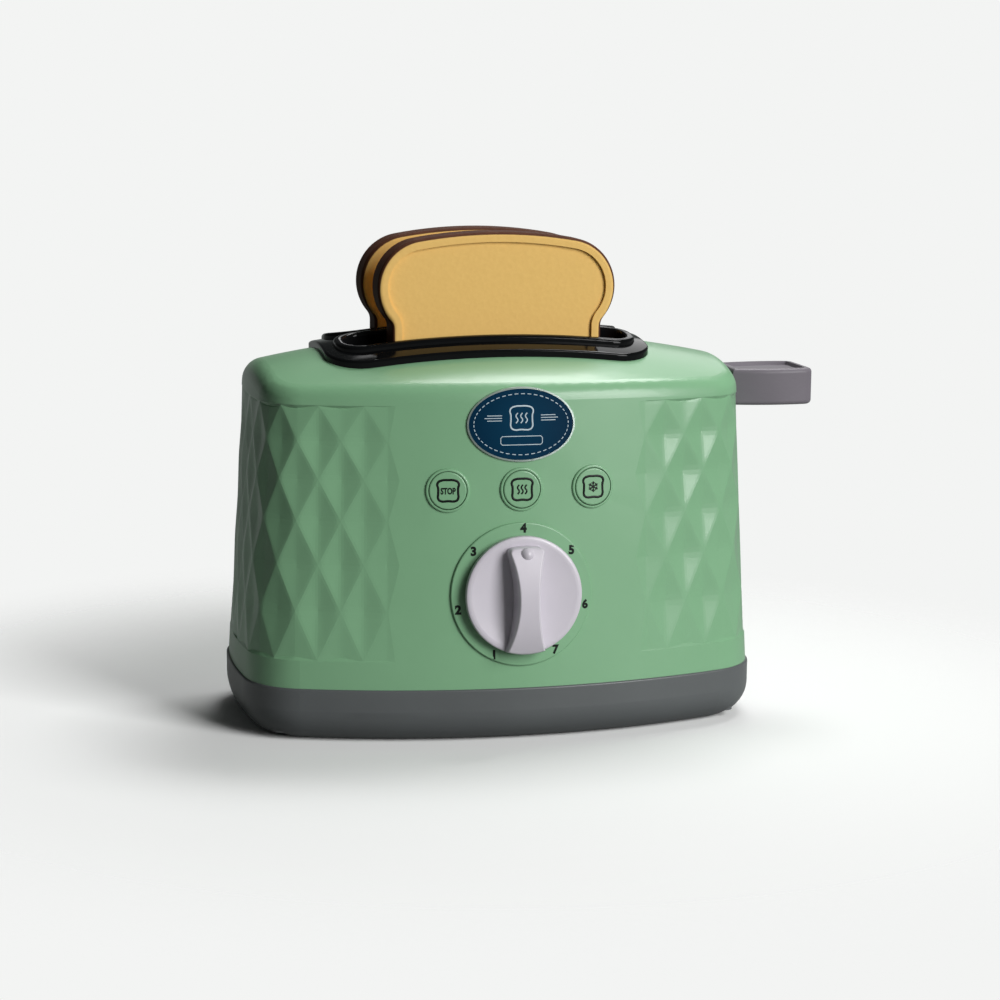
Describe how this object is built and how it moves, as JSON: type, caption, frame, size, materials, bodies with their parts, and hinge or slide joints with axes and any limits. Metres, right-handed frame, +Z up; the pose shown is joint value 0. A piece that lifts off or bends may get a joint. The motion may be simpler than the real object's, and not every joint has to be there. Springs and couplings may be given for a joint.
{
  "type": "toy toaster",
  "caption": "Toy toaster with moulded bread slices in two slots, a sprung side lever that lowers them, three push buttons and a turning dial.",
  "frame": {"origin": "centre of the flat underside of the base", "axes": "+Z up, the front with the dial and the buttons faces -Y, the lever is on the +X side"},
  "size_m": [0.2181, 0.1256, 0.1783],
  "materials": {
    "casing_green": "semi-gloss moulded ABS, sage green",
    "base_grey": "satin moulded ABS, cool grey",
    "frame_black": "high gloss, near black",
    "badge_navy": "glossy printed navy",
    "badge_silver": "thin plated ring",
    "inner_grey": "plain moulded plastic, dark grey",
    "bush_white": "plain acetal",
    "steel": "zinc plated",
    "lever_white": "semi-gloss, cool off-white",
    "knob_white": "semi-gloss, cool off-white",
    "bread_tan": "satin tan with a sprayed brown crust"
  },
  "bodies": {
    "housing": {"front_shell": "casing_green", "rear_shell": "casing_green", "base_tub": "base_grey", "slot_frame": "frame_black", "badge_plate": "badge_navy", "badge_bezel": "badge_silver", "well_front": "inner_grey", "well_rear": "inner_grey", "guide_rods": "steel", "lift_springs": "steel", "spring_stop": "steel", "spring_reheat": "steel", "spring_defrost": "steel", "button_plate": "inner_grey", "dial_bracket": "inner_grey", "click_spring": "steel", "shell_screws": "steel", "base_screws": "steel", "well_screws": "steel", "plate_screws": "steel"},
    "carriage": {"lift_cradle": "inner_grey", "carriage_bushes": "bush_white", "lever_arm": "inner_grey", "lever_screws": "steel", "lever_paddle": "lever_white"},
    "bread_1": {"slice_1_front": "bread_tan", "slice_1_back": "bread_tan"},
    "bread_2": {"slice_2_front": "bread_tan", "slice_2_back": "bread_tan"},
    "dial": {"dial_knob": "knob_white", "dial_spindle": "steel", "spindle_clip": "steel", "detent_wheel": "bush_white"},
    "stop": {"button_stop": "casing_green"},
    "reheat": {"button_reheat": "casing_green"},
    "defrost": {"button_defrost": "casing_green"},
    "catch": {"release_bar": "bush_white"}
  },
  "joints": [
    {"name": "lever_slide", "type": "slide", "parent": "housing", "child": "carriage", "axis": [0, 0, -1], "range_m": [0, 0.045], "stiffness_N_per_m": 80, "springref_m": -0.03, "deforming": ["lift_springs"]},
    {"name": "bread_1_lift", "type": "slide", "parent": "carriage", "child": "bread_1", "axis": [0, 0, 1], "range_m": [0, 0.1]},
    {"name": "bread_2_lift", "type": "slide", "parent": "carriage", "child": "bread_2", "axis": [0, 0, 1], "range_m": [0, 0.1]},
    {"name": "dial_turn", "type": "hinge", "parent": "housing", "child": "dial", "pos_m": [0, -0.05563, 0.0535], "axis": [0, -0.9984, 0.0558], "range_deg": [-150, 150]},
    {"name": "stop_press", "type": "slide", "parent": "housing", "child": "stop", "axis": [0, 1, 0], "range_m": [0, 0.0015], "stiffness_N_per_m": 400, "springref_m": -0.001, "deforming": ["spring_stop"]},
    {"name": "reheat_press", "type": "slide", "parent": "housing", "child": "reheat", "axis": [0, 1, 0], "range_m": [0, 0.0015], "stiffness_N_per_m": 400, "springref_m": -0.001, "deforming": ["spring_reheat"]},
    {"name": "defrost_press", "type": "slide", "parent": "housing", "child": "defrost", "axis": [0, 1, 0], "range_m": [0, 0.0015], "stiffness_N_per_m": 400, "springref_m": -0.001, "deforming": ["spring_defrost"]},
    {"name": "catch_tilt", "type": "hinge", "parent": "housing", "child": "catch", "pos_m": [0.02, -0.03185, 0.072], "axis": [-1, 0, 0], "range_deg": [0, 4.65]}
  ],
  "couplings": [
    {"joint": "catch_tilt", "follows": "stop_press", "rad_per_m": 53.763}
  ]
}
